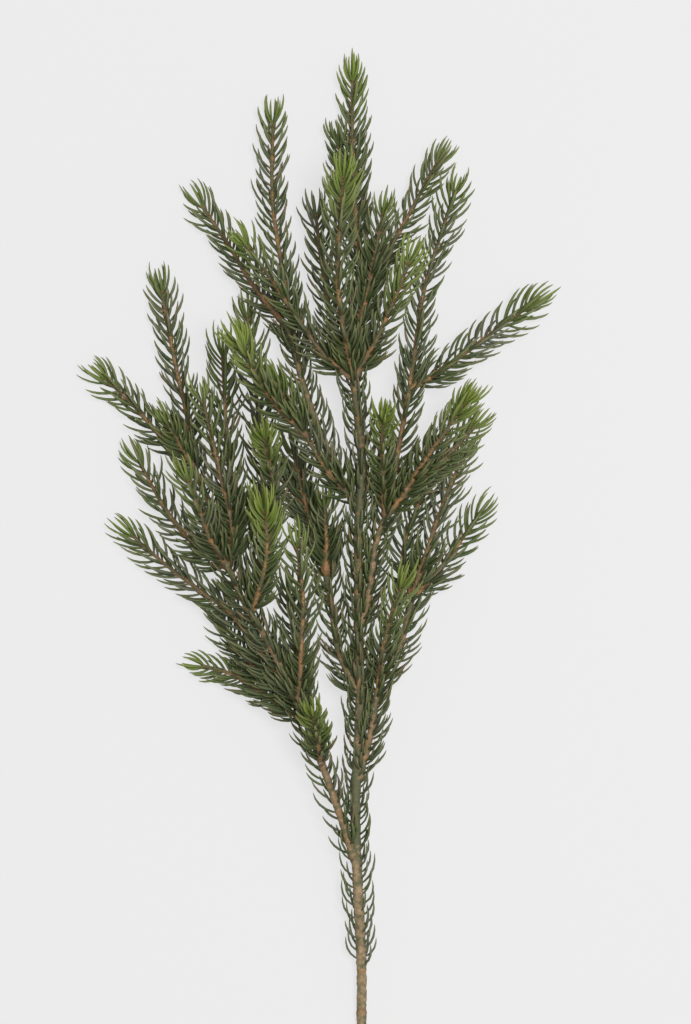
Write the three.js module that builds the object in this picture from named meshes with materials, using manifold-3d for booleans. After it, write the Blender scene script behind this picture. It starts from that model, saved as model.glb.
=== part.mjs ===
// A cut spruce branch, lying on a flat surface. Millimetres, +Z up, tip towards +Y.
// The forked stem and its limbs carry needled sprigs. Each twig is one solid with its needles.
import * as THREE from 'three';
import { mergeVertices } from 'three/addons/utils/BufferGeometryUtils.js';
import Module from 'manifold-3d';

const wasm = await Module();
wasm.setup();

// Driving sizes
const stemRadius = { cutEnd: 3.5, whorl: 2.7 };
const limbRadius = { base: 2.7, tip: 2.1 };
const sprigRadius = { base: 1.9, tip: 1.5 };
const needleLength = 17;
const needleRadius = 0.8;
const needleLean = THREE.MathUtils.degToRad(42);
const tuftLean = THREE.MathUtils.degToRad(14);
const tuftLength = 16;
const tuftNeedles = 3;
const shortestNeedle = 0.9;
const longestNeedle = 1.1;
const needleSpacing = { stem: 12, limb: 10, sprig: 10 };
const bareStem = 108;
const jointGap = 0.32;
const needleClearance = 1.5;
const budSetback = 4;
const randomSeed = 23;

// Facets
const twigSides = { stem: 7, limb: 6, sprig: 5 };
const needleSides = 3;
const twistPerRing = 0.3;
const facetsApart = 2;
const twigStep = { stem: 45, limb: 24, sprig: 30 };
const fewestRings = 3;
const samePoint = 1e-4;
const parallel = 1e-9;

const barkColour = 0x8a6a48;
const needleColour = 0x4b5a3a;
const brightColour = 0x6f8f3f;
const dullness = 0.6;

// Routes of the twigs from base to bud: across, along and height, from the cut end of the stem.
const stemRoute = [
  [3, 0, 3.6], [3, 70, 8], [3, 108, 14], [1, 150, 20], [-1, 209, 27], [2, 280, 35],
  [1, 339, 40], [1, 391, 44], [3, 439, 47], [-2, 488, 50],
];

const limbRoutes = {
  left_limb: [[-2, 176, 24], [-10, 202, 29], [-34, 267, 36], [-60, 322, 38], [-73, 343, 36], [-83, 365, 34]],
  left_outer_limb: [[-83, 365, 34], [-92, 397, 28], [-109, 437, 18]],
  right_lower_limb: [[1, 227, 29], [10, 264, 34], [14, 287, 34], [29, 319, 33], [36, 347, 30]],
  right_limb: [[1, 326, 39], [7, 345, 41], [12, 381, 42], [18, 398, 41]],
  upper_left_limb: [[-1, 406, 45], [-18, 439, 38], [-36, 489, 31], [-42, 515, 29], [-48, 525, 28]],
  middle_left_limb: [[1, 283, 35], [-12, 313, 33], [-17, 345, 31], [-20, 361, 30]],
};

const topSprigs = {
  leader_sprig: [[-2, 488, 50], [1, 511, 45], [2, 553, 33], [-1, 602, 19], [-3, 647, 10], [-3, 686, 8]],
  whorl_front_sprig: [[-2, 488, 50], [-12, 541, 73], [-12, 569, 82], [-9, 618, 92]],
  whorl_left_sprig: [[-2, 488, 50], [-21, 504, 55], [-57, 555, 61], [-73, 576, 58]],
  whorl_right_sprig: [[-2, 488, 50], [12, 513, 57], [24, 539, 60], [34, 565, 58]],
  leader_side_sprig: [[2, 526, 41], [12, 560, 29], [27, 584, 19], [42, 612, 11], [53, 632, 8]],
  leader_small_sprig: [[1, 517, 43], [6, 540, 41], [17, 597, 40]],
  leader_back_sprig: [[0, 575, 27], [-5, 600, 15], [-9, 625, 9], [-12, 645, 8]],
  whorl_back_sprig: [[-2, 488, 50], [-12, 511, 44], [-19, 540, 34], [-24, 572, 24], [-27, 597, 17]],
  upper_left_tip_sprig: [[-48, 525, 28], [-69, 552, 20], [-84, 577, 13], [-102, 603, 8]],
  upper_left_upright_sprig: [[-38, 500, 30], [-45, 540, 23], [-55, 605, 11], [-55, 658, 8]],
};

const rightSprigs = {
  right_tall_sprig: [[18, 398, 41], [24, 428, 41], [35, 489, 36], [44, 548, 25], [52, 575, 16], [64, 612, 9]],
  right_tall_side_sprig: [[34, 482, 37], [55, 495, 34], [92, 522, 16], [114, 538, 8]],
  right_inner_sprig: [[18, 398, 41], [17, 422, 52], [16, 446, 66], [17, 464, 80]],
  right_outer_sprig: [[18, 398, 41], [31, 414, 51], [51, 431, 56], [76, 458, 54]],
  right_front_sprig: [[29, 412, 50], [44, 436, 64], [58, 456, 72], [70, 474, 76]],
  right_back_sprig: [[36, 347, 30], [31, 365, 23], [31, 381, 19], [38, 402, 13], [49, 422, 9]],
  lower_right_tip_sprig: [[36, 347, 30], [44, 372, 33], [51, 393, 33], [60, 418, 30], [70, 439, 26]],
  lower_right_outer_sprig: [[36, 347, 30], [53, 363, 20], [68, 384, 12], [79, 400, 8]],
  lower_right_inner_sprig: [[14, 288, 34], [16, 309, 44], [22, 335, 55], [29, 356, 62]],
};

const middleSprigs = {
  middle_front_sprig: [[-1, 409, 45], [-21, 432, 58], [-37, 459, 67], [-55, 488, 71]],
  middle_front_bright_sprig: [[-31, 450, 64], [-53, 472, 78], [-64, 488, 86], [-76, 512, 92]],
  middle_left_tip_sprig: [[-20, 361, 30], [-20, 385, 33], [-21, 406, 36]],
  middle_left_dark_sprig: [[-20, 361, 30], [-29, 391, 22], [-36, 417, 14], [-42, 443, 9]],
  middle_left_back_sprig: [[-19, 355, 30], [-23, 385, 20], [-35, 406, 13], [-52, 426, 8]],
};

const leftSprigs = {
  left_back_sprig: [[-69, 337, 36], [-62, 384, 26], [-62, 430, 18], [-68, 501, 11], [-72, 532, 9]],
  left_bright_short_sprig: [[-62, 381, 27], [-55, 414, 40], [-57, 436, 54], [-60, 451, 68]],
  left_tall_sprig: [[-83, 365, 34], [-79, 404, 30], [-84, 443, 25], [-88, 506, 15]],
  left_upright_sprig: [[-83, 365, 34], [-81, 391, 40], [-88, 424, 44], [-100, 475, 44]],
  left_outer_tall_sprig: [[-109, 437, 18], [-111, 465, 14], [-118, 495, 10], [-128, 548, 8]],
  left_outer_tip_sprig: [[-109, 437, 18], [-130, 454, 12], [-147, 473, 9], [-165, 490, 8]],
  left_outer_small_sprig: [[-106, 430, 20], [-116, 448, 26], [-125, 462, 29]],
  left_middle_sprig: [[-83, 365, 34], [-112, 387, 23], [-128, 409, 14], [-143, 436, 8]],
  left_front_sprig: [[-83, 365, 34], [-96, 387, 46], [-103, 406, 54], [-110, 424, 60]],
  left_bright_sprig: [[-69, 335, 37], [-62, 357, 50], [-58, 381, 58], [-60, 405, 64]],
  left_low_sprig: [[-40, 282, 37], [-66, 315, 28], [-84, 338, 21], [-98, 348, 17], [-124, 367, 10], [-147, 387, 8]],
  left_low_back_sprig: [[-40, 282, 37], [-56, 291, 25], [-73, 308, 14], [-88, 331, 9]],
  left_inner_sprig: [[-38, 277, 37], [-36, 319, 50], [-35, 348, 56], [-39, 381, 60]],
  left_inner_back_sprig: [[-34, 266, 36], [-38, 295, 24], [-42, 325, 13], [-46, 352, 9]],
  left_lowest_sprig: [[-34, 266, 36], [-59, 283, 23], [-81, 296, 13], [-102, 302, 8]],
  left_short_sprig: [[-23, 237, 33], [-25, 250, 47], [-27, 263, 61], [-29, 272, 72]],
};

const brightSprigs = [
  'whorl_front_sprig', 'right_inner_sprig', 'right_front_sprig', 'lower_right_inner_sprig',
  'middle_front_bright_sprig', 'left_bright_short_sprig', 'left_bright_sprig', 'left_short_sprig',
];

// The same sequence of numbers from 0 to 1 in each run.
function randomNumbers(seed) {
  const factor = 16807;
  const modulus = 2147483647;
  let state = seed;
  return () => {
    state = (state * factor) % modulus;
    return state / modulus;
  };
}

function makeTwig(name, kind, route, baseRadius, tipRadius) {
  const points = route.map((point) => new THREE.Vector3(...point));
  const curve = new THREE.CatmullRomCurve3(points, false, 'centripetal');
  const rings = Math.max(fewestRings, Math.round(curve.getLength() / twigStep[kind]));
  const axis = curve.getSpacedPoints(rings);
  const radiusAt = (share) => THREE.MathUtils.lerp(baseRadius, tipRadius, share);
  return { name, kind, curve, rings, axis, radiusAt, frames: curve.computeFrenetFrames(rings) };
}

// The direction away from the twig's axis at a turn around it. The facets wind slowly along the twig.
function outwardAt(twig, share, turn) {
  const ring = Math.round(share * twig.rings);
  const wound = turn + share * twig.rings * twistPerRing;
  const outward = twig.frames.normals[ring].clone().multiplyScalar(Math.sin(wound));
  return outward.addScaledVector(twig.frames.binormals[ring], -Math.cos(wound));
}

// A closed bar bent along the twig's curve, thicker than the twig by the allowance.
function twigSolid(twig, allowance) {
  const bar = new THREE.CylinderGeometry(1, 1, 1, twigSides[twig.kind], twig.rings);
  const place = bar.getAttribute('position');
  for (let i = 0; i < place.count; i += 1) {
    const share = place.getY(i) + 0.5;
    const ring = Math.round(share * twig.rings);
    const reach = Math.hypot(place.getX(i), place.getZ(i)) * (twig.radiusAt(share) + allowance);
    const turn = Math.atan2(place.getX(i), place.getZ(i));
    const point = twig.axis[ring].clone().addScaledVector(outwardAt(twig, share, turn), reach);
    place.setXYZ(i, point.x, point.y, point.z);
  }
  return asSolid(bar);
}

function asSolid(geometry) {
  geometry.deleteAttribute('normal');
  geometry.deleteAttribute('uv');
  const merged = mergeVertices(geometry, samePoint);
  return new wasm.Manifold(new wasm.Mesh({
    numProp: 3,
    vertProperties: new Float32Array(merged.getAttribute('position').array),
    triVerts: new Uint32Array(merged.index.array),
  }));
}

function asGeometry(solid) {
  const mesh = solid.getMesh();
  const geometry = new THREE.BufferGeometry();
  geometry.setAttribute('position', new THREE.BufferAttribute(new Float32Array(mesh.vertProperties), 3));
  geometry.setIndex(new THREE.BufferAttribute(new Uint32Array(mesh.triVerts), 1));
  geometry.computeVertexNormals();
  return geometry;
}

// The shortest distance between two straight stretches, a to b and c to d.
function distanceBetween(a, b, c, d) {
  const first = b.clone().sub(a);
  const second = d.clone().sub(c);
  const across = a.clone().sub(c);
  const firstSquare = first.dot(first);
  const secondSquare = second.dot(second);
  const mixed = first.dot(second);
  const along = second.dot(across);
  const back = first.dot(across);
  const spread = firstSquare * secondSquare - mixed * mixed;
  let s = spread > parallel ? THREE.MathUtils.clamp((mixed * along - back * secondSquare) / spread, 0, 1) : 0;
  const t = THREE.MathUtils.clamp((mixed * s + along) / secondSquare, 0, 1);
  s = THREE.MathUtils.clamp((mixed * t - back) / firstSquare, 0, 1);
  return a.clone().addScaledVector(first, s).distanceTo(c.clone().addScaledVector(second, t));
}

function touchesTwig(needle, twig) {
  for (let i = 0; i < twig.rings; i += 1) {
    const room = twig.radiusAt(i / twig.rings) + needleRadius + jointGap;
    if (distanceBetween(needle.base, needle.tip, twig.axis[i], twig.axis[i + 1]) < room) {
      return true;
    }
  }
  return false;
}

function isFree(needle, owner, twigs, placed) {
  const others = twigs.filter((twig) => twig !== owner);
  if (others.some((twig) => touchesTwig(needle, twig))) {
    return false;
  }
  return !placed.some((other) => other.owner !== owner
    && distanceBetween(needle.base, needle.tip, other.base, other.tip) < needleClearance);
}

// A needle leaves the twig's axis at a share of its length and leans forwards.
// One that would go below the surface lies on it.
function makeNeedle(twig, share, turn, lean, length) {
  const ring = Math.min(twig.rings - 1, Math.floor(share * twig.rings));
  const base = twig.axis[ring].clone().lerp(twig.axis[ring + 1], share * twig.rings - ring);
  const forward = twig.axis[ring + 1].clone().sub(twig.axis[ring]).normalize();
  const outward = outwardAt(twig, share, turn);
  outward.addScaledVector(forward, -outward.dot(forward)).normalize();
  const tip = base.clone();
  tip.addScaledVector(forward, Math.cos(lean) * length);
  tip.addScaledVector(outward, Math.sin(lean) * length);
  tip.z = Math.max(0, tip.z);
  return { owner: twig, base, tip };
}

function growNeedles(twig, random) {
  const length = twig.curve.getLength();
  const start = twig.kind === 'stem' ? bareStem : needleSpacing[twig.kind];
  const needles = [];
  const facetTurn = (Math.PI * 2) / twigSides[twig.kind];
  let turn = facetTurn / 2;
  for (let at = start; at < length - budSetback; at += needleSpacing[twig.kind]) {
    const tuftShare = twig.kind === 'sprig' ? Math.max(0, 1 - (length - at) / tuftLength) : 0;
    const lean = THREE.MathUtils.lerp(needleLean, tuftLean, tuftShare);
    const lengthShare = THREE.MathUtils.lerp(shortestNeedle, longestNeedle, random());
    needles.push(makeNeedle(twig, at / length, turn, lean, needleLength * lengthShare));
    turn += facetTurn * facetsApart;
  }
  if (twig.kind === 'sprig') {
    for (let i = 0; i < tuftNeedles; i += 1) {
      needles.push(makeNeedle(twig, 1 - budSetback / length, turn, tuftLean, needleLength));
      turn += facetTurn * facetsApart;
    }
  }
  return needles;
}

function needleSolid(needle) {
  const way = needle.tip.clone().sub(needle.base);
  const cone = new THREE.ConeGeometry(needleRadius, way.length(), needleSides);
  cone.translate(0, way.length() / 2, 0);
  const upright = new THREE.Vector3(0, 1, 0);
  cone.applyQuaternion(new THREE.Quaternion().setFromUnitVectors(upright, way.normalize()));
  cone.translate(needle.base.x, needle.base.y, needle.base.z);
  return asSolid(cone);
}

function largestPart(solid) {
  return solid.decompose().reduce((best, part) => (part.volume() > best.volume() ? part : best));
}

// The twig is cut clear of the twigs made before it, which it grows from or stands beside.
function buildTwig(twig, earlier, needles) {
  let solid = twigSolid(twig, 0);
  for (const other of earlier) {
    solid = solid.subtract(twigSolid(other, jointGap));
  }
  solid = largestPart(solid);
  for (const needle of needles) {
    solid = solid.add(needleSolid(needle));
  }
  return largestPart(solid);
}

function makeMesh(twig, solid, colour) {
  const geometry = asGeometry(solid);
  const base = twig.axis[0];
  geometry.translate(-base.x, -base.y, -base.z);
  const material = new THREE.MeshStandardMaterial({ color: colour, roughness: dullness, metalness: 0 });
  const mesh = new THREE.Mesh(geometry, material);
  mesh.name = twig.name;
  mesh.position.copy(base);
  return mesh;
}

function listTwigs() {
  const twigs = [makeTwig('main_stem', 'stem', stemRoute, stemRadius.cutEnd, stemRadius.whorl)];
  for (const [name, route] of Object.entries(limbRoutes)) {
    twigs.push(makeTwig(name, 'limb', route, limbRadius.base, limbRadius.tip));
  }
  for (const routes of [topSprigs, rightSprigs, middleSprigs, leftSprigs]) {
    for (const [name, route] of Object.entries(routes)) {
      twigs.push(makeTwig(name, 'sprig', route, sprigRadius.base, sprigRadius.tip));
    }
  }
  return twigs;
}

function colourOf(twig) {
  if (twig.kind !== 'sprig') {
    return barkColour;
  }
  return brightSprigs.includes(twig.name) ? brightColour : needleColour;
}

function buildBranch() {
  const branch = new THREE.Group();
  const twigs = listTwigs();
  const random = randomNumbers(randomSeed);
  const placed = [];
  twigs.forEach((twig, i) => {
    const grown = growNeedles(twig, random).filter((needle) => isFree(needle, twig, twigs, placed));
    placed.push(...grown);
    branch.add(makeMesh(twig, buildTwig(twig, twigs.slice(0, i), grown), colourOf(twig)));
  });
  return branch;
}

// The origin is under the middle of the branch, on the surface.
const branch = buildBranch();
const middle = new THREE.Box3().setFromObject(branch).getCenter(new THREE.Vector3());
branch.position.set(-middle.x, -middle.y, 0);

export default branch;
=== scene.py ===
import math
import random

import bmesh
import bpy
import numpy as np
from mathutils import Matrix, Vector
from mathutils.kdtree import KDTree


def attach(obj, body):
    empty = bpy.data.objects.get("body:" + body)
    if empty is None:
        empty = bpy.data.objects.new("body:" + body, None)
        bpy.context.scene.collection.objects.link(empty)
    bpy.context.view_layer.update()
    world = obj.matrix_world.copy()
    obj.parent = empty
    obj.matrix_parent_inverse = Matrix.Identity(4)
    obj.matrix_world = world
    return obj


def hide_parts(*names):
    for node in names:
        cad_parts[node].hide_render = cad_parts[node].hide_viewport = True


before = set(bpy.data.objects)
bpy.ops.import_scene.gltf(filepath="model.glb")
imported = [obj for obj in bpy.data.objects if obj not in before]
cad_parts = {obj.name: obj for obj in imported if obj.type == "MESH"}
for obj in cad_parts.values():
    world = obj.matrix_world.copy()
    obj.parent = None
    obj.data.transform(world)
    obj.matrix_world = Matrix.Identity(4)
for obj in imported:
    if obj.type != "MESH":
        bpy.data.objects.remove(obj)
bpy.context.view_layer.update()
millimetre = 0.001
seed = 7  # every random draw follows from it

# Routes from base to bud, in millimetres: across, along and height, from the cut end of the stem
stemRoute = [
    (3, 0, 3.6), (3, 70, 8), (3, 108, 14), (1, 150, 20), (-1, 209, 27), (2, 280, 35),
    (1, 339, 40), (1, 391, 44), (3, 439, 47), (-2, 488, 50),
]

limbRoutes = {
    "left_limb": [
        (-2, 176, 24), (-10, 202, 29), (-34, 267, 36), (-60, 322, 38), (-73, 343, 36), (-83, 365, 34)],
    "left_outer_limb": [(-83, 365, 34), (-92, 397, 28), (-109, 437, 18)],
    "right_lower_limb": [(1, 227, 29), (10, 264, 34), (14, 287, 34), (29, 319, 33), (36, 347, 30)],
    "right_limb": [(1, 326, 39), (7, 345, 41), (12, 381, 42), (18, 398, 41)],
    "upper_left_limb": [(-1, 406, 45), (-18, 439, 38), (-36, 489, 31), (-42, 515, 29), (-48, 525, 28)],
    "middle_left_limb": [(1, 283, 35), (-12, 313, 33), (-17, 345, 31), (-20, 361, 30)],
}

# fresh says how yellow-green a sprig is, and reach how wide its needles spread
sprigs = {
    "leader_sprig": {"fresh": 0.6, "reach": 1.02, "route": [
        (-2, 488, 50), (1, 511, 45), (2, 553, 33), (-1, 602, 19), (-3, 647, 10), (-3, 686, 8)]},
    "whorl_front_sprig": {"fresh": 0.8, "reach": 1.08, "route": [
        (-2, 488, 50), (-12, 541, 73), (-12, 569, 82), (-9, 618, 92)]},
    "whorl_left_sprig": {"fresh": 0.5, "reach": 1.0, "route": [
        (-2, 488, 50), (-21, 504, 55), (-57, 555, 61), (-73, 576, 58)]},
    "whorl_right_sprig": {"fresh": 0.7, "reach": 1.05, "route": [
        (-2, 488, 50), (12, 513, 57), (24, 539, 60), (34, 565, 58)]},
    "leader_side_sprig": {"fresh": 0.25, "reach": 1.0, "route": [
        (2, 526, 41), (12, 560, 29), (27, 584, 19), (42, 612, 11), (53, 632, 8)]},
    "leader_small_sprig": {"fresh": 0.25, "reach": 0.95, "route": [
        (1, 517, 43), (6, 540, 41), (17, 597, 40)]},
    "leader_back_sprig": {"fresh": 0.15, "reach": 0.9, "route": [
        (0, 575, 27), (-5, 600, 15), (-9, 625, 9), (-12, 645, 8)]},
    "whorl_back_sprig": {"fresh": 0.0, "reach": 1.0, "route": [
        (-2, 488, 50), (-12, 511, 44), (-19, 540, 34), (-24, 572, 24), (-27, 597, 17)]},
    "upper_left_tip_sprig": {"fresh": 0.25, "reach": 1.05, "route": [
        (-48, 525, 28), (-69, 552, 20), (-84, 577, 13), (-102, 603, 8)]},
    "upper_left_upright_sprig": {"fresh": 0.32, "reach": 1.05, "route": [
        (-38, 500, 30), (-45, 540, 23), (-55, 605, 11), (-55, 658, 8)]},
    "right_tall_sprig": {"fresh": 0.3, "reach": 1.05, "route": [
        (18, 398, 41), (24, 428, 41), (35, 489, 36), (44, 548, 25), (52, 575, 16), (64, 612, 9)]},
    "right_tall_side_sprig": {"fresh": 0.34, "reach": 1.16, "route": [
        (34, 482, 37), (55, 495, 34), (92, 522, 16), (114, 538, 8)]},
    "right_inner_sprig": {"fresh": 0.75, "reach": 0.9, "route": [
        (18, 398, 41), (17, 422, 52), (16, 446, 66), (17, 464, 80)]},
    "right_outer_sprig": {"fresh": 0.45, "reach": 1.0, "route": [
        (18, 398, 41), (31, 414, 51), (51, 431, 56), (76, 458, 54)]},
    "right_front_sprig": {"fresh": 0.75, "reach": 1.0, "route": [
        (29, 412, 50), (44, 436, 64), (58, 456, 72), (70, 474, 76)]},
    "right_back_sprig": {"fresh": 0.05, "reach": 1.1, "route": [
        (36, 347, 30), (31, 365, 23), (31, 381, 19), (38, 402, 13), (49, 422, 9)]},
    "lower_right_tip_sprig": {"fresh": 0.3, "reach": 1.1, "route": [
        (36, 347, 30), (44, 372, 33), (51, 393, 33), (60, 418, 30), (70, 439, 26)]},
    "lower_right_outer_sprig": {"fresh": 0.22, "reach": 1.08, "route": [
        (36, 347, 30), (53, 363, 20), (68, 384, 12), (79, 400, 8)]},
    "lower_right_inner_sprig": {"fresh": 0.6, "reach": 1.0, "route": [
        (14, 288, 34), (16, 309, 44), (22, 335, 55), (29, 356, 62)]},
    "middle_front_sprig": {"fresh": 0.5, "reach": 1.05, "route": [
        (-1, 409, 45), (-21, 432, 58), (-37, 459, 67), (-55, 488, 71)]},
    "middle_front_bright_sprig": {"fresh": 0.85, "reach": 1.0, "route": [
        (-31, 450, 64), (-53, 472, 78), (-64, 488, 86), (-76, 512, 92)]},
    "middle_left_tip_sprig": {"fresh": 0.2, "reach": 1.05, "route": [
        (-20, 361, 30), (-20, 385, 33), (-21, 406, 36)]},
    "middle_left_dark_sprig": {"fresh": 0.0, "reach": 1.0, "route": [
        (-20, 361, 30), (-29, 391, 22), (-36, 417, 14), (-42, 443, 9)]},
    "middle_left_back_sprig": {"fresh": 0.0, "reach": 1.1, "route": [
        (-19, 355, 30), (-23, 385, 20), (-35, 406, 13), (-52, 426, 8)]},
    "left_back_sprig": {"fresh": 0.3, "reach": 1.08, "route": [
        (-69, 337, 36), (-62, 384, 26), (-62, 430, 18), (-68, 501, 11), (-72, 532, 9)]},
    "left_bright_short_sprig": {"fresh": 0.75, "reach": 1.0, "route": [
        (-62, 381, 27), (-55, 414, 40), (-57, 436, 54), (-60, 451, 68)]},
    "left_tall_sprig": {"fresh": 0.35, "reach": 1.1, "route": [
        (-83, 365, 34), (-79, 404, 30), (-84, 443, 25), (-88, 506, 15)]},
    "left_upright_sprig": {"fresh": 0.3, "reach": 1.05, "route": [
        (-83, 365, 34), (-81, 391, 40), (-88, 424, 44), (-100, 475, 44)]},
    "left_outer_tall_sprig": {"fresh": 0.22, "reach": 1.06, "route": [
        (-109, 437, 18), (-111, 465, 14), (-118, 495, 10), (-128, 548, 8)]},
    "left_outer_tip_sprig": {"fresh": 0.4, "reach": 1.08, "route": [
        (-109, 437, 18), (-130, 454, 12), (-147, 473, 9), (-165, 490, 8)]},
    "left_outer_small_sprig": {"fresh": 0.3, "reach": 0.9, "route": [
        (-106, 430, 20), (-116, 448, 26), (-125, 462, 29)]},
    "left_middle_sprig": {"fresh": 0.35, "reach": 1.05, "route": [
        (-83, 365, 34), (-112, 387, 23), (-128, 409, 14), (-143, 436, 8)]},
    "left_front_sprig": {"fresh": 0.42, "reach": 1.1, "route": [
        (-83, 365, 34), (-96, 387, 46), (-103, 406, 54), (-110, 424, 60)]},
    "left_bright_sprig": {"fresh": 0.9, "reach": 1.05, "route": [
        (-69, 335, 37), (-62, 357, 50), (-58, 381, 58), (-60, 405, 64)]},
    "left_low_sprig": {"fresh": 0.3, "reach": 1.12, "route": [
        (-40, 282, 37), (-66, 315, 28), (-84, 338, 21), (-98, 348, 17), (-124, 367, 10), (-147, 387, 8)]},
    "left_low_back_sprig": {"fresh": 0.0, "reach": 1.08, "route": [
        (-40, 282, 37), (-56, 291, 25), (-73, 308, 14), (-88, 331, 9)]},
    "left_inner_sprig": {"fresh": 0.4, "reach": 1.1, "route": [
        (-38, 277, 37), (-36, 319, 50), (-35, 348, 56), (-39, 381, 60)]},
    "left_inner_back_sprig": {"fresh": 0.0, "reach": 1.0, "route": [
        (-34, 266, 36), (-38, 295, 24), (-42, 325, 13), (-46, 352, 9)]},
    "left_lowest_sprig": {"fresh": 0.4, "reach": 0.95, "route": [
        (-34, 266, 36), (-59, 283, 23), (-81, 296, 13), (-102, 302, 8)]},
    "left_short_sprig": {"fresh": 0.7, "reach": 0.95, "route": [
        (-23, 237, 33), (-25, 250, 47), (-27, 263, 61), (-29, 272, 72)]},
}


def findCutEnd():
    # The middle of the stem's lowest face, where the routes start
    place = np.array([v.co for v in bpy.data.objects["main_stem"].data.vertices])
    foot = place[place[:, 1] < place[:, 1].min() + 2 * millimetre]
    return (foot.min(0) + foot.max(0)) / 2


def smoothRoute(points, step):
    # A centripetal Catmull-Rom curve through the points, cut into even steps
    points = np.array(points, float)
    ends = np.vstack([2 * points[0] - points[1], points, 2 * points[-1] - points[-2]])
    knots = np.concatenate([[0], np.cumsum(np.linalg.norm(np.diff(ends, axis=0), axis=1) ** 0.5)])
    fine = []
    for i in range(1, len(ends) - 2):
        p, k = ends[i - 1:i + 3], knots[i - 1:i + 3]
        for t in np.linspace(k[1], k[2], 40, endpoint=i == len(ends) - 3):
            a = [(k[j + 1] - t) / (k[j + 1] - k[j]) * p[j] + (t - k[j]) / (k[j + 1] - k[j]) * p[j + 1]
                 for j in range(3)]
            b = [(k[j + 2] - t) / (k[j + 2] - k[j]) * a[j] + (t - k[j]) / (k[j + 2] - k[j]) * a[j + 1]
                 for j in range(2)]
            fine.append((k[2] - t) / (k[2] - k[1]) * b[0] + (t - k[1]) / (k[2] - k[1]) * b[1])
    fine = np.array(fine)
    run = np.concatenate([[0], np.cumsum(np.linalg.norm(np.diff(fine, axis=0), axis=1))])
    even = np.linspace(0, run[-1], max(4, round(run[-1] / step)) + 1)
    return even, np.stack([np.interp(even, run, fine[:, axis]) for axis in range(3)], 1)


# Twigs: radii and lengths in millimetres, shades from 0 to 1 with their places along the stem
bark = {
    "stem": {"base": 3.4, "tip": 2.6, "sides": 20, "step": 1.6, "lump": 0.3},
    "limb": {"base": 2.5, "tip": 2.0, "sides": 14, "step": 1.5, "lump": 0.25, "tan": 0.5},
    "sprig": {"base": 1.9, "tip": 1.0, "sides": 10, "step": 1.4, "lump": 0.16, "tan": 0.0},
    "flare": 0.35,
    "flareLength": 3.5,
    "rootShare": 0.65,
    "budLength": 3.2,
    "budBluntness": 0.02,
    "ridge": 0.05,
    "ridgeTurns": (2.1, 0.9),
    "ridgePhases": 50,
    "collar": 0.07,
    "bands": (77, 103),
    "bandReach": 2,
    "bandShades": (0.3, 0),
    "greenTip": 18,
    "greenShares": {"all": 0.15, "along": 0.35, "tip": 0.5},
    "greenRun": ((0, 0.15), (100, 0.2), (172, 0.1), (192, 0.9), (230, 0.8), (246, 0.25), (320, 0.5),
                 (380, 0.65), (500, 0.5)),
    "tanRun": ((0, 1), (180, 1), (240, 0.75), (300, 0.3), (330, 0), (500, 0)),
}


class Twig:
    # A curve with a forward, an outward and a sideways direction at each step
    def __init__(self, name, kind, route, fresh, reach):
        self.name, self.kind, self.fresh, self.reach = name, kind, fresh, reach
        start = cutEnd - np.array(stemRoute[0]) * millimetre
        self.run, path = smoothRoute(route, bark[kind]["step"])
        self.run = self.run * millimetre
        self.path = path * millimetre + start
        self.length = self.run[-1]
        forward = np.gradient(self.path, axis=0)
        self.forward = forward / np.linalg.norm(forward, axis=1)[:, None]
        outward = [np.cross(self.forward[0], (1.0, 0.0, 0.2))]
        for ahead in self.forward[1:]:
            outward.append(outward[-1] - ahead * outward[-1].dot(ahead))
        self.outward = np.array(outward)
        self.outward /= np.linalg.norm(self.outward, axis=1)[:, None]
        self.sideways = np.cross(self.forward, self.outward)

    def radius(self, at):
        size = bark[self.kind]
        share = at / self.length
        radius = size["base"] + (size["tip"] - size["base"]) * share
        if self.kind == "stem":
            radius = radius * (1 + bark["collar"] * (at > needle["bare"]["stem"] * millimetre))
        else:
            # Thickest where it leaves the twig below, thin again inside it
            fromFork = at / (bark["flareLength"] * millimetre)
            radius = radius * (1 + bark["flare"] * np.exp(-(fromFork - 1) ** 2))
            radius = radius * (bark["rootShare"] + (1 - bark["rootShare"]) * np.clip(fromFork, 0, 1))
        if self.kind == "sprig":
            fromBud = (self.length - at) / (bark["budLength"] * millimetre)
            radius = radius * np.sqrt(np.clip(fromBud, bark["budBluntness"], 1))
        return radius * millimetre

    def at(self, values, places):
        # One of this twig's rows of vectors, read at places along it
        return np.stack([np.interp(places, self.run, values[:, axis]) for axis in range(3)], 1)


def finishPiece(mesh, name, node, material):
    piece = bpy.data.objects.new(name, mesh)
    bpy.context.collection.objects.link(piece)
    piece.data.materials.append(material)
    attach(piece, "root")
    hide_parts(node)
    return piece


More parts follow.
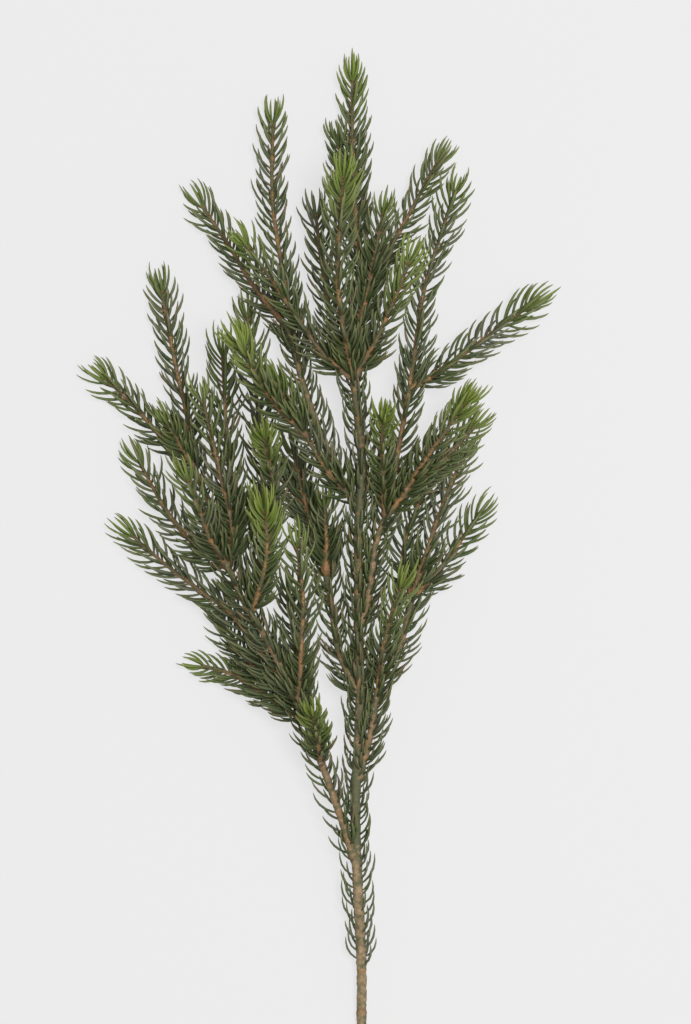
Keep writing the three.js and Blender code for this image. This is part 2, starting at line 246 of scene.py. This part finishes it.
def growBark(twig, rng):
    # Rings drawn out one after the other along the twig's curve
    sides = bark[twig.kind]["sides"]
    bm = bmesh.new()
    tanLayer = bm.verts.layers.float.new("tan")
    greenLayer = bm.verts.layers.float.new("green")
    ring = bmesh.ops.create_circle(bm, segments=sides, radius=1)["verts"]
    edges = list(bm.edges)
    before = Matrix.Identity(4)
    phase = rng.random() * bark["ridgePhases"]
    for i, at in enumerate(twig.run):
        if i:
            drawn = bmesh.ops.extrude_edge_only(bm, edges=edges)["geom"]
            ring = [part for part in drawn if isinstance(part, bmesh.types.BMVert)]
            edges = [part for part in drawn if isinstance(part, bmesh.types.BMEdge)
                     and all(end in ring for end in part.verts)]
        swell = 1 + sum(bark["ridge"] * math.sin(phase + i * turn) for turn in bark["ridgeTurns"])
        radius = float(twig.radius(at)) * swell
        turned = Matrix((twig.sideways[i] * radius, twig.outward[i] * radius, twig.forward[i])).transposed()
        now = Matrix.Translation(Vector(twig.path[i])) @ turned.to_4x4()
        bmesh.ops.transform(bm, matrix=now @ before.inverted(), verts=ring)
        before = now
        tan, green = barkShades(twig, at)
        for vert in ring:
            vert[tanLayer], vert[greenLayer] = tan, green
    bmesh.ops.holes_fill(bm, edges=[edge for edge in bm.edges if edge.is_boundary], sides=sides)
    bmesh.ops.recalc_face_normals(bm, faces=bm.faces)
    for face in bm.faces:
        face.smooth = len(face.verts) == 4
    mesh = bpy.data.meshes.new(f"{twig.name}_bark")
    bm.to_mesh(mesh)
    bm.free()
    roughenBark(mesh, twig, rng)
    return mesh


def barkShades(twig, at):
    # How tan and how green the bark is at a place along a twig
    if twig.kind == "stem":
        tan, green = (np.interp(at / millimetre, *zip(*bark[run])) for run in ("tanRun", "greenRun"))
        if min(abs(at / millimetre - band) for band in bark["bands"]) < bark["bandReach"]:
            tan, green = bark["bandShades"]
    else:
        tan, shares = bark[twig.kind]["tan"], bark["greenShares"]
        toBud = (twig.length - at) / millimetre / bark["greenTip"] if twig.kind == "sprig" else 1
        green = shares["all"] + shares["along"] * at / twig.length + shares["tip"] * max(0, 1 - toBud)
    return float(tan), float(green)


def roughenBark(mesh, twig, rng):
    place = np.empty(len(mesh.vertices) * 3)
    normal = np.empty(len(mesh.vertices) * 3)
    mesh.vertices.foreach_get("co", place)
    mesh.vertices.foreach_get("normal", normal)
    place, normal = place.reshape(-1, 3), normal.reshape(-1, 3)
    lift = np.array([rng.uniform(-1, 1) for _ in range(len(place))])
    place += normal * lift[:, None] * bark[twig.kind]["lump"] * millimetre / 2
    mesh.vertices.foreach_set("co", place.ravel())
    mesh.update()


# Needles: lengths in millimetres, leans and turns in degrees, turnSpread and turnAside in radians
needle = {
    "length": 19.5,
    "lengthSpread": 0.12,
    "widthSpread": (0.85, 1.1),
    "thickness": {"stem": 1.9, "limb": 2.05, "sprig": 2.25},
    "baseLean": {"stem": 74, "limb": 62, "sprig": 52},
    "tipLean": {"stem": -4, "limb": -2, "sprig": 0},
    "leanSpread": 9,
    "hook": {"stem": 1.5, "limb": 0.9, "sprig": 0.62},
    "perMillimetre": {"stem": 0.82, "limb": 0.76, "sprig": 0.7},
    "sparseUpTo": {"main_stem": 250, "left_limb": 60},
    "sparseShare": 0.74,
    "fillIn": 30,
    "steps": 400,
    "nextTurn": 137.5,
    "turnSpread": 0.2,
    "crowdMore": {"stem": 0.5, "limb": 0.6, "sprig": 0.9},
    "moreBareFront": 45,
    "budGap": 1.5,
    "bare": {"stem": 108, "limb": 3, "sprig": 4.5},
    "bareFront": {"sparse": 40, "stem": 4, "limb": 8, "sprig": 17, "leader_sprig": 38, "left_lowest_sprig": 50,
                  "left_bright_sprig": 45, "upper_left_tip_sprig": 30, "upper_left_upright_sprig": 28},
    "freshMore": 0.9,
    "bushyFrom": (0.55, 0.9),
    "towardsBud": 1.3,
    "tuftLength": 9,
    "tuftNeedles": 7,
    "tuftBaseLean": 36,
    "tuftTipLean": -22,
    "tuftShare": 0.95,
    "tuftThinner": 0.15,
    "clearance": 0.7,
    "nearest": 4.5,
    "checkedAt": (0.3, 0.55, 0.8, 1.0),
    "tries": 4,
    "turnAside": (0.4, 0.9),
    "rootDepth": 0.55,
    "floorGap": 0.1,
    "stations": (0, 0.05, 0.14, 0.34, 0.56, 0.77, 0.92),
    "widths": (1.05, 0.82, 0.86, 1.0, 0.99, 0.77, 0.4),
    "freshRun": (46, 10),
    "freshShares": {"all": 0.15, "tuft": 0.25, "freshTuft": 0.45},
    "crowdedAt": 28,
    "crowdReach": 16,
    "leastTint": {"stem": 0.5, "limb": 0.5, "sprig": 0},
    "sides": 5,
    "flatness": 0.82,
}


def needleTemplate():
    # A straight closed needle one unit long: x and y are its section, z its length
    bm = bmesh.new()
    bmesh.ops.create_circle(bm, cap_ends=True, segments=needle["sides"], radius=1)
    edges = list(bm.edges)
    stations = needle["stations"] + (1,)
    for low, high in zip(stations, stations[1:]):
        drawn = bmesh.ops.extrude_edge_only(bm, edges=edges)["geom"]
        ring = [part for part in drawn if isinstance(part, bmesh.types.BMVert)]
        edges = [part for part in drawn if isinstance(part, bmesh.types.BMEdge)
                 and all(end in ring for end in part.verts)]
        bmesh.ops.translate(bm, vec=(0, 0, high - low), verts=ring)
    bmesh.ops.pointmerge(bm, verts=ring, merge_co=(0, 0, 1))
    bmesh.ops.recalc_face_normals(bm, faces=bm.faces)
    bm.verts.index_update()
    points = np.array([vert.co for vert in bm.verts])
    faces = [[vert.index for vert in face.verts] for face in bm.faces]
    bm.free()
    return points, faces


def findCrowding(twig, places, nearby):
    # From 0 for needles out in the open to 1 for those far in among other twigs; more needles grow there, and
    # the needle material paints shade on them
    near = [sum(nearby["owners"][index][0] is not twig for _, index, _ in
                nearby["tree"].find_range(Vector(point), needle["crowdReach"] * millimetre))
            for point in twig.at(twig.path, places)]
    return np.clip(np.array(near) / needle["crowdedAt"], 0, 1)


def findFullness(twig, places):
    # 0 on the lower stem and limb, where needles are sparse, and 1 past them
    sparseUpTo = needle["sparseUpTo"].get(twig.name, -needle["fillIn"])
    return np.clip((np.asarray(places) - sparseUpTo) / needle["fillIn"], 0, 1)


def placeNeedles(twig, rng, nearby):
    # Distances along the twig: an even row, more where twigs are crowded, more near a fresh tip
    start = needle["bare"][twig.kind]
    end = twig.length / millimetre - (needle["budGap"] if twig.kind == "sprig" else 0)
    fine = np.linspace(start, end, needle["steps"])
    share = needle["sparseShare"] + (1 - needle["sparseShare"]) * findFullness(twig, fine)
    amount = np.cumsum(share) * needle["perMillimetre"][twig.kind] * (fine[1] - fine[0])
    row = [np.interp(i + 0.5 + rng.uniform(-0.5, 0.5), amount, fine) for i in range(int(amount[-1]))]
    most = int((end - start) * needle["crowdMore"][twig.kind])
    more = [start + (end - start) * rng.random() for _ in range(most)]
    chance = findCrowding(twig, np.array(more) * millimetre, nearby) * findFullness(twig, more)
    more = [at for at, likely in zip(more, chance) if rng.random() < likely]
    low, high = needle["bushyFrom"]
    bushy = min(1, max(0, twig.fresh - low) / (high - low))
    run = needle["freshRun"][0]
    tip = [end - run * rng.random() ** needle["towardsBud"]
           for _ in range(int(bushy * needle["freshMore"] * run))]
    spots = [(at, 0) for at in [*row, *tip]] + [(at, needle["moreBareFront"]) for at in more]
    return [(min(max(at, start), end) * millimetre, front) for at, front in spots], end * millimetre


def plantNeedles(twig, rng, nearby):
    # Where each needle stands: distance along, turn, leans, length, width, share of tuft and tint
    spots, end = placeNeedles(twig, rng, nearby)
    rows = []
    turn, turnSpread = rng.random() * 2 * math.pi, needle["turnSpread"]
    for at, front in spots:
        toBud = (twig.length - at) / (needle["tuftLength"] * millimetre)
        full = findFullness(twig, at / millimetre)
        usual = needle["bareFront"].get(twig.name, needle["bareFront"][twig.kind])
        bareFront = usual * full + needle["bareFront"]["sparse"] * (1 - full)
        front = max(front, bareFront * (1 - twig.fresh / 2))
        rows.append((at, turn, front, max(0, 1 - toBud) if twig.kind == "sprig" else 0))
        turn += math.radians(needle["nextTurn"]) + rng.uniform(-turnSpread, turnSpread)
    if twig.kind == "sprig":
        for _ in range(needle["tuftNeedles"]):
            rows.append((end - rng.random() * millimetre, turn, 0, 1))
            turn += math.radians(needle["nextTurn"])
    table = []
    for at, turn, front, tuft in rows:
        spread = needle["leanSpread"]
        baseLean = (1 - tuft) * needle["baseLean"][twig.kind] + tuft * needle["tuftBaseLean"]
        tipLean = (1 - tuft) * needle["tipLean"][twig.kind] + tuft * needle["tuftTipLean"]
        baseLean += rng.uniform(-spread, spread)
        tipLean += rng.uniform(-spread, spread)
        length = needle["length"] * twig.reach * (1 + rng.gauss(0, needle["lengthSpread"]))
        length *= 1 - tuft * (1 - needle["tuftShare"])
        width = needle["thickness"][twig.kind] * rng.uniform(*needle["widthSpread"])
        width *= 1 - needle["tuftThinner"] * tuft
        turn = ((turn + math.pi) % (2 * math.pi) - math.pi) * (1 - front / 180 * (1 - tuft))
        table.append((at, turn, math.radians(baseLean), math.radians(tipLean),
                      length * millimetre, width * millimetre / 2, tuft, rng.random()))
    return np.array(table)


def addUp(slopes, fine, share):
    # The running sums of rows of slopes, read at the shares
    steps = (slopes[:, 1:] + slopes[:, :-1]) / 2 * np.diff(fine)
    sums = np.concatenate([np.zeros((len(slopes), 1)), np.cumsum(steps, axis=1)], axis=1)
    return np.stack([np.interp(share, fine, row) for row in sums])


def bendNeedles(twig, table, share):
    # Points on the needles' middle lines at a share of their length, and the directions there
    at, turn, baseLean, tipLean, length = table[:, :5].T
    fine = np.linspace(0, 1, 41)
    leans = tipLean[:, None] + (baseLean - tipLean)[:, None] * (1 - fine) ** needle["hook"][twig.kind]
    ahead, aside = (addUp(length[:, None] * wave(leans), fine, share) for wave in (np.cos, np.sin))
    lean = np.stack([np.interp(share, fine, row) for row in leans])
    forward = twig.at(twig.forward, at)
    outward = (twig.at(twig.outward, at) * np.cos(turn)[:, None]
               + twig.at(twig.sideways, at) * np.sin(turn)[:, None])
    outward -= forward * (outward * forward).sum(1)[:, None]
    outward /= np.linalg.norm(outward, axis=1)[:, None]
    forward /= np.linalg.norm(forward, axis=1)[:, None]
    sideways = np.cross(forward, outward)
    base = twig.at(twig.path, at) + outward * (twig.radius(at) * needle["rootDepth"])[:, None]
    middle = base[:, None] + forward[:, None] * ahead[..., None] + outward[:, None] * aside[..., None]
    upward = outward[:, None] * np.cos(lean)[..., None] - forward[:, None] * np.sin(lean)[..., None]
    return middle, upward, np.broadcast_to(sideways[:, None], middle.shape)


def isFree(twig, points, nearby):
    for point in points:
        for _, index, distance in nearby["tree"].find_range(Vector(point), needle["nearest"] * millimetre):
            owner, radius = nearby["owners"][index]
            if owner is not twig and distance < radius + needle["clearance"] * millimetre:
                return False
    return True


def keepFree(twig, table, nearby, rng):
    # A needle that would run into another twig is turned aside, or left out if that doesn't help
    checked = np.array(needle["checkedAt"])
    free = np.zeros(len(table), bool)
    for _ in range(needle["tries"]):
        middle, _, _ = bendNeedles(twig, table, checked)
        for i in np.flatnonzero(~free):
            free[i] = isFree(twig, middle[i], nearby)
            if not free[i]:
                table[i, 1] += rng.choice((-1, 1)) * rng.uniform(*needle["turnAside"])
    return table[free]


def growNeedles(twig, table, template, crowding):
    points, faces = template
    share = points[:, 2]
    middle, upward, sideways = bendNeedles(twig, table, share)
    stations = needle["stations"] + (1,)
    width = np.interp(share, stations, needle["widths"] + (0,)) * table[:, 5][:, None]
    lowest = width + needle["floorGap"] * millimetre
    middle[..., 2] = np.maximum(middle[..., 2], lowest)
    place = (middle + sideways * (points[:, 0] * width)[..., None]
             + upward * (points[:, 1] * width * needle["flatness"])[..., None])
    count, size = len(table), len(points)
    allFaces = [[index + i * size for index in face] for i in range(count) for face in faces]
    mesh = bpy.data.meshes.new(f"{twig.name}_needles")
    mesh.from_pydata(place.reshape(-1, 3).tolist(), [], allFaces)
    mesh.polygons.foreach_set("use_smooth", [True] * len(mesh.polygons))
    addAttribute(mesh, "along", np.tile(share, count))
    least = needle["leastTint"][twig.kind]
    addAttribute(mesh, "tint", np.repeat(least + (1 - least) * table[:, 7], size))
    addAttribute(mesh, "fresh", np.repeat(findFreshness(twig, table), size))
    # How crowded each needle is, which the needle material turns into painted shade
    addAttribute(mesh, "crowdShade", np.repeat(crowding, size))
    return mesh


def findFreshness(twig, table):
    # How yellow-green each needle is: more towards the bud, most in its tuft
    start, full = needle["freshRun"]
    shares = needle["freshShares"]
    ripe = np.clip((start - (twig.length - table[:, 0]) / millimetre) / (start - full), 0, 1)
    fresh = twig.fresh * (shares["all"] + (1 - shares["all"]) * ripe ** 2 * (3 - 2 * ripe))
    return np.clip(fresh + table[:, 6] * (shares["tuft"] + shares["freshTuft"] * twig.fresh), 0, 1)


def addAttribute(mesh, name, values):
    layer = mesh.attributes.new(name, "FLOAT", "POINT")
    layer.data.foreach_set("value", np.asarray(values, np.float32))


class NodeValue:
    # One output of a material's nodes, with sums written as they are said
    def __init__(self, tree, socket=None):
        self.tree, self.socket = tree, socket

    def node(self, kind, settings=None, sockets=None, output=0):
        made = self.tree.nodes.new(kind)
        for name, value in (settings or {}).items():
            setattr(made, name, value)
        for name, value in (sockets or {}).items():
            if isinstance(value, NodeValue):
                self.tree.links.new(value.socket, made.inputs[name])
            else:
                made.inputs[name].default_value = value
        return NodeValue(self.tree, made.outputs[output])

    def sum(self, operation, first, second):
        return self.node("ShaderNodeMath", {"operation": operation}, {0: first, 1: second})

    def __add__(self, other):
        return self.sum("ADD", self, other)

    def __rsub__(self, other):
        return self.sum("SUBTRACT", other, self)

    def __mul__(self, other):
        return self.sum("MULTIPLY", self, other)

    __radd__ = __add__

    def attribute(self, name):
        return self.node("ShaderNodeAttribute", {"attribute_name": name}, output="Fac")

    def noise(self, scale, detail=2, roughness=0.5):
        place = self.node("ShaderNodeTexCoord", output="Object")
        return self.node("ShaderNodeTexNoise", None,
                         {"Vector": place, "Scale": scale, "Detail": detail, "Roughness": roughness})

    def steps(self, low, high):
        # 0 under low, 1 over high and smooth between
        return self.node("ShaderNodeMapRange", {"interpolation_type": "SMOOTHSTEP"},
                         {"Value": self, "From Min": low, "From Max": high})

    def bump(self, height, grain):
        return self.node("ShaderNodeBump", None,
                         {"Strength": grain["Strength"], "Distance": grain["Distance"], "Height": height})

    def mix(self, first, second):
        # Between two colours, by this value
        return self.node("ShaderNodeMix", {"data_type": "RGBA"}, {0: self, 6: first, 7: second}, output=2)


def newMaterial(name):
    material = bpy.data.materials.new(name)
    material.use_nodes = True
    shader = material.node_tree.nodes["Principled BSDF"]
    return material, NodeValue(material.node_tree), shader


def joinTo(shader, sockets):
    for name, value in sockets.items():
        if isinstance(value, NodeValue):
            value.tree.links.new(value.socket, shader.inputs[name])
        else:
            shader.inputs[name].default_value = value


needlePaint = {
    "dark": (0.046, 0.070, 0.026, 1),
    "green": (0.101, 0.129, 0.045, 1),
    "fresh": (0.185, 0.250, 0.036, 1),
    # Painted light: the pale that the outer ends of the needles are given
    "tip": (0.235, 0.236, 0.105, 1),
    "russet": (0.170, 0.105, 0.060, 1),
    "foot": (0.200, 0.125, 0.055, 1),
    # Painted shade: the darkest green, laid on the feet of the needles and on needles among crowded twigs
    "paintedShade": (0.018, 0.026, 0.008, 1),
    "cool": (0.122, 0.128, 0.084, 1),
}

# Noise scales are in waves a metre, runs are shares of a needle's length, the rest are shares of a mix
needleLook = {
    "mottle": {"scale": 260, "detail": 3, "edges": (0.35, 0.65), "share": 0.4},
    # Patches of the needles' own grey-green, faded among crowded twigs as painted shade
    "patches": {"scale": 45, "edges": (0.4, 0.6), "least": 0.05, "more": 0.75, "lostInCrowdShade": 0.6},
    "freshFoot": 0.55,
    # Painted shade: the feet of the needles darker over this run, more among crowded twigs
    "footShadeRun": (0.12, 0.55),
    "footShade": 0.2,
    "footShadeInCrowd": 0.2,
    # Painted shade on needles among crowded twigs
    "shadeInCrowd": 0.32,
    # Painted light: the outer ends of the needles paler over this run
    "tipLightRun": (0.5, 1.0),
    "tipLight": 0.5,
    "russet": {"edges": (0.93, 0.96), "run": (0.3, 0.7), "share": 0.6},
    "rootRun": (0.02, 0.13),
    "roughness": (0.42, 0.14),
    "specular": 0.2,
    "grain": {"scale": 1400, "Strength": 0.15, "Distance": 0.0003},
}


def makeNeedleMaterial():
    material, maths, shader = newMaterial("needle_green")
    paint, look = needlePaint, needleLook
    along, tint, fresh, crowdShade = (maths.attribute(name) for name in ("along", "tint", "fresh", "crowdShade"))
    mottle, patches, russet, grain = look["mottle"], look["patches"], look["russet"], look["grain"]
    spots = maths.noise(mottle["scale"], mottle["detail"]).steps(*mottle["edges"])
    colour = (tint * (1 - mottle["share"]) + spots * mottle["share"]).mix(paint["dark"], paint["green"])
    cool = patches["least"] + maths.noise(patches["scale"]).steps(*patches["edges"]) * patches["more"]
    # The needles' own grey-green in patches, faded among crowded twigs: painted shade
    colour = ((1 - crowdShade * patches["lostInCrowdShade"]) * cool).mix(colour, paint["cool"])
    colour = (fresh * (look["freshFoot"] + along * (1 - look["freshFoot"]))).mix(colour, paint["fresh"])
    # Painted shade: the feet of the needles darker, more among crowded twigs
    footShade = look["footShade"] + crowdShade * look["footShadeInCrowd"]
    colour = ((1 - along.steps(*look["footShadeRun"])) * footShade).mix(colour, paint["paintedShade"])
    # Painted shade: needles among crowded twigs darker, fresh ones spared
    colour = (crowdShade * look["shadeInCrowd"] * (1 - fresh)).mix(colour, paint["paintedShade"])
    # Painted light: the outer ends of the needles paler
    colour = (along.steps(*look["tipLightRun"]) * look["tipLight"]).mix(colour, paint["tip"])
    rusty = tint.steps(*russet["edges"]) * along.steps(*russet["run"]) * (1 - fresh) * russet["share"]
    colour = rusty.mix(colour, paint["russet"])
    colour = (1 - along.steps(*look["rootRun"])).mix(colour, paint["foot"])
    bump = maths.bump(maths.noise(grain["scale"]), grain)
    low, more = look["roughness"]
    joinTo(shader, {"Base Color": colour, "Roughness": low + spots * more, "Normal": bump,
                    "Specular IOR Level": look["specular"]})
    return material


barkPaint = {
    "orange": (0.305, 0.162, 0.062, 1),
    "brown": (0.150, 0.092, 0.044, 1),
    "tan": (0.290, 0.208, 0.112, 1),
    "umber": (0.168, 0.128, 0.066, 1),
    "green": (0.074, 0.088, 0.038, 1),
    "spot": (0.480, 0.300, 0.190, 1),
}

# Each noise is its scale, detail and roughness; edges are where a patch starts and is full
barkLook = {
    "patches": {"noise": (90, 3, 0.6), "edges": (0.4, 0.6)},
    "mottle": {"noise": (330, 3, 0.6), "edges": (0.4, 0.62)},
    "mossy": {"noise": (150, 4, 0.65), "edges": (0.52, 0.7), "byGreen": 0.34, "share": 0.9},
    "spots": {"noise": (240, 2), "edges": (0.6, 0.7), "least": 0.35, "byTan": 0.2},
    "roughness": (0.62, 0.2),
    "grain": {"Strength": 0.7, "Distance": 0.0007},
}


def makeBarkMaterial():
    material, maths, shader = newMaterial("bark_brown")
    paint, look = barkPaint, barkLook
    tan, green = maths.attribute("tan"), maths.attribute("green")
    patches, mottle, moss, flecks = (maths.noise(*look[name]["noise"])
                                     for name in ("patches", "mottle", "mossy", "spots"))
    young = patches.steps(*look["patches"]["edges"]).mix(paint["orange"], paint["brown"])
    old = mottle.steps(*look["mottle"]["edges"]).mix(paint["tan"], paint["umber"])
    colour = tan.mix(young, old)
    mossy = (moss + green * look["mossy"]["byGreen"]).steps(*look["mossy"]["edges"])
    colour = (mossy * look["mossy"]["share"]).mix(colour, paint["green"])
    pale = look["spots"]["least"] + tan * look["spots"]["byTan"]
    colour = (flecks.steps(*look["spots"]["edges"]) * pale).mix(colour, paint["spot"])
    low, more = look["roughness"]
    joinTo(shader, {"Base Color": colour, "Roughness": low + mottle * more,
                    "Normal": maths.bump(mottle, look["grain"])})
    return material


# The floor glows a little, as a light table does, so that gaps between needles stay bright
floorLook = {"size": 40, "colour": (0.13, 0.13, 0.13, 1), "roughness": 0.9, "glow": 0.665}


def addFloor():
    bm = bmesh.new()
    bmesh.ops.create_grid(bm, x_segments=1, y_segments=1, size=floorLook["size"] / 2)
    mesh = bpy.data.meshes.new("floor")
    bm.to_mesh(mesh)
    bm.free()
    floor = bpy.data.objects.new("floor", mesh)
    bpy.context.collection.objects.link(floor)
    material, _, shader = newMaterial("floor_white")
    joinTo(shader, {"Base Color": floorLook["colour"], "Roughness": floorLook["roughness"],
                    "Emission Color": (1, 1, 1, 1), "Emission Strength": floorLook["glow"]})
    floor.data.materials.append(material)


# Light: one big soft lamp over the right shoulder, a weaker one beside it, and an even sky
light = {
    "sky": 0.335,
    "keyPower": 114,
    "keySize": 1.2,
    "keyPlace": (0.5, 0.3, 3.6),
    "fillPower": 7.5,
    "fillSize": 2.0,
    "fillPlace": (1.6, -0.6, 1.8),
}


def addLamp(name, power, size, place):
    lamp = bpy.data.lights.new(name, "AREA")
    lamp.energy, lamp.shape, lamp.size = power, "DISK", size
    holder = bpy.data.objects.new(name, lamp)
    bpy.context.collection.objects.link(holder)
    holder.location = place
    holder.rotation_euler = (-Vector(place)).to_track_quat("-Z", "Y").to_euler()


def addSky():
    world = bpy.data.worlds.new("studio")
    bpy.context.scene.world = world
    world.use_nodes = True
    world.node_tree.nodes["Background"].inputs["Color"].default_value = (1, 1, 1, 1)
    world.node_tree.nodes["Background"].inputs["Strength"].default_value = light["sky"]


# Camera: straight above the branch, as far off as a long lens needs
camera = {
    "pixelSize": 0.65 * millimetre,
    "photoWidth": 691,
    "photoHeight": 1024,
    "stemColumn": 357,
    "cutEndRow": 1131,
    "distance": 4.0,
    "sharpHeight": 0.035,
    "sensor": 36,
    "clipEnd": 20,
}


def addCamera():
    # The photograph's middle, in the frame of the branch
    rows = camera["cutEndRow"] - camera["photoHeight"] / 2
    columns = camera["photoWidth"] / 2 - camera["stemColumn"]
    start = cutEnd - np.array(stemRoute[0]) * millimetre
    made = bpy.data.cameras.new("camera")
    made.sensor_width = camera["sensor"]
    made.lens = camera["sensor"] * camera["distance"] / (camera["photoHeight"] * camera["pixelSize"])
    made.clip_end = camera["clipEnd"]
    holder = bpy.data.objects.new("camera", made)
    bpy.context.collection.objects.link(holder)
    holder.location = (start[0] + columns * camera["pixelSize"], start[1] + rows * camera["pixelSize"],
                       camera["sharpHeight"] + camera["distance"])
    bpy.context.scene.camera = holder


def listTwigs():
    twigs = [Twig("main_stem", "stem", stemRoute, 0, 0.95)]
    twigs += [Twig(name, "limb", route, 0, 1.0) for name, route in limbRoutes.items()]
    twigs += [Twig(name, "sprig", one["route"], one["fresh"], one["reach"]) for name, one in sprigs.items()]
    return twigs


def mapTwigs(twigs):
    # Every twig's middle line in one search tree, so that needles can keep clear of it
    owners = [(twig, float(twig.radius(at))) for twig in twigs for at in twig.run]
    tree = KDTree(len(owners))
    for index, place in enumerate(np.vstack([twig.path for twig in twigs])):
        tree.insert(Vector(place), index)
    tree.balance()
    return {"tree": tree, "owners": owners}


def growBranch():
    rng = random.Random(seed)
    twigs = listTwigs()
    nearby = mapTwigs(twigs)
    template = needleTemplate()
    barkMaterial, needleMaterial = makeBarkMaterial(), makeNeedleMaterial()
    print("materials: bark and needles")
    total = 0
    for twig in twigs:
        finishPiece(growBark(twig, rng), f"{twig.name}_twig", twig.name, barkMaterial)
        table = keepFree(twig, plantNeedles(twig, rng, nearby), nearby, rng)
        total += len(table)
        needles = growNeedles(twig, table, template, findCrowding(twig, table[:, 0], nearby))
        finishPiece(needles, f"{twig.name}_needles", twig.name, needleMaterial)
    print(f"branch: {len(twigs)} twigs, {total} needles")


cutEnd = findCutEnd()
print("cut end at", cutEnd.round(4))
bpy.context.scene.view_settings.view_transform = "Standard"
addCamera()
addSky()
addLamp("key", light["keyPower"], light["keySize"], light["keyPlace"])
addLamp("fill", light["fillPower"], light["fillSize"], light["fillPlace"])
addFloor()
print("studio: camera, sky, two lamps and floor")
growBranch()
